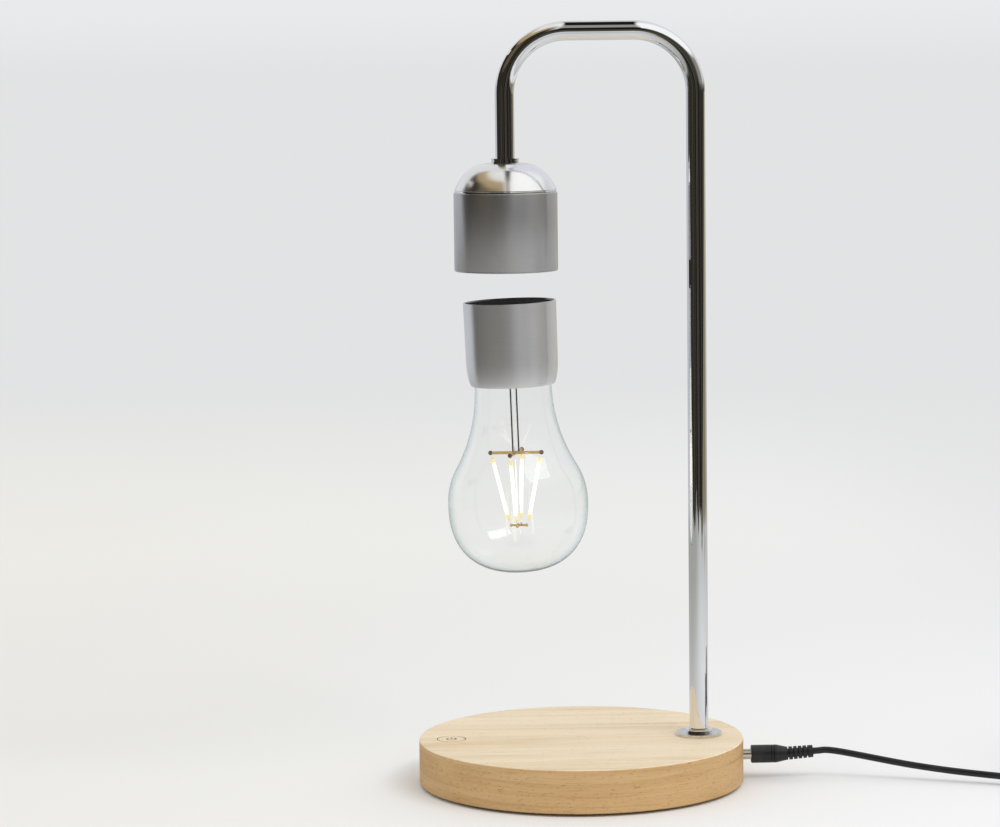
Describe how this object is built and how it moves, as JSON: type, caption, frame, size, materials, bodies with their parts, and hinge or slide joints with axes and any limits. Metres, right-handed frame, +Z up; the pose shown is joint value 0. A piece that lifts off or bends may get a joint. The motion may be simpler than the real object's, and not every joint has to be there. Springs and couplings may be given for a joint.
{
  "type": "levitating bulb lamp",
  "caption": "Table lamp with a round wooden base, a bent chrome tube arm and a clear filament bulb that floats under a magnet head, with a plug-in power cord.",
  "frame": {"origin": "on the table under the middle of the round base", "axes": "+Z up, +X from the middle of the base towards the riser and the power socket, +Y away from the viewer"},
  "size_m": [0.3968, 0.171, 0.4],
  "materials": {
    "light_wood": "satin clear oil over pale ash",
    "black_plastic": "fine moulded texture",
    "black_rubber": "matt",
    "steel": "zinc plated",
    "green_board": "solder resist",
    "black_chip": "moulded resin",
    "blue_sleeve": "shrunk sleeve",
    "ivory_plastic": "moulded nylon",
    "copper": "enamelled copper",
    "yellow_wire": "smooth insulation",
    "red_wire": "smooth insulation",
    "contact_brass": "plated contact",
    "chrome": "mirror polish",
    "satin_metal": "fine satin",
    "iron": "turned",
    "magnet_plate": "nickel plated magnet",
    "white_cement": "dry cement",
    "clear_glass": "clear",
    "dark_wire": "oxidised",
    "gold_brass": "gold plated",
    "lit_filament": "glowing phosphor coat",
    "contact_nickel": "nickel plated contact",
    "cord_black": "soft satin jacket",
    "tie_black": "hook and loop strap",
    "adapter_plastic": "fine moulded texture"
  },
  "bodies": {
    "lamp": {"base_body": "light_wood", "base_cover": "black_plastic", "base_feet": "black_rubber", "cover_screws": "steel", "main_board": "green_board", "board_chips": "black_chip", "board_capacitors": "blue_sleeve", "board_connectors": "ivory_plastic", "board_screws": "steel", "touch_plate": "copper", "touch_lead": "yellow_wire", "dc_jack": "black_plastic", "jack_pin": "contact_brass", "jack_nut": "steel", "jack_leads": "red_wire", "foot_washer": "chrome", "foot_ring": "chrome", "lock_washer": "steel", "tube_nut": "steel", "arm_tube": "chrome", "head_cable": "black_rubber", "leg_collar": "chrome", "head_nut": "steel", "head_dome": "chrome", "trim_ring": "chrome", "head_sleeve": "satin_metal", "head_disc": "black_plastic", "power_coil": "copper", "hall_sensor": "green_board", "coil_bobbin": "ivory_plastic", "magnet_coil": "copper", "coil_core": "iron", "head_board": "green_board"},
    "magnet": {"bulb_magnet": "magnet_plate"},
    "cup": {"magnet_cup": "ivory_plastic"},
    "bulb": {"bulb_cap": "satin_metal", "bulb_lid": "black_plastic", "receiver_coil": "copper", "receiver_board": "green_board", "neck_seal": "white_cement", "glass_envelope": "clear_glass", "glass_stem": "clear_glass", "supply_wires": "dark_wire", "upper_cross": "gold_brass", "filament_1": "lit_filament", "filament_2": "lit_filament", "filament_3": "lit_filament", "filament_4": "lit_filament", "lower_cross": "gold_brass"},
    "plug": {"plug_barrel": "contact_nickel", "plug_body": "cord_black", "cord_relief": "cord_black", "cord_run": "cord_black", "cord_coil": "cord_black", "cord_tie": "tie_black", "adapter_back": "adapter_plastic", "adapter_front": "adapter_plastic", "adapter_board": "green_board", "adapter_blades": "contact_nickel", "adapter_relief": "cord_black"}
  },
  "joints": [
    {"name": "bulb_float", "type": "slide", "parent": "lamp", "child": "magnet", "axis": [0, 0, 1], "range_m": [-0.06, 0.014], "stiffness_N_per_m": 60, "springref_m": 0.01783},
    {"name": "bulb_sway", "type": "hinge", "parent": "magnet", "child": "cup", "pos_m": [-0.035, 0, 0.2473], "axis": [0, 1, 0], "range_deg": [-0.7, 4.3], "stiffness_Nm_per_rad": 0.05, "springref_deg": -1.75},
    {"name": "bulb_spin", "type": "hinge", "parent": "cup", "child": "bulb", "pos_m": [-0.035, 0, 0.2473], "axis": [-0.0314, 0, 0.9995], "continuous": true},
    {"name": "plug_pull", "type": "slide", "parent": "lamp", "child": "plug", "axis": [1, 0, 0], "range_m": [0, 0.014]}
  ]
}
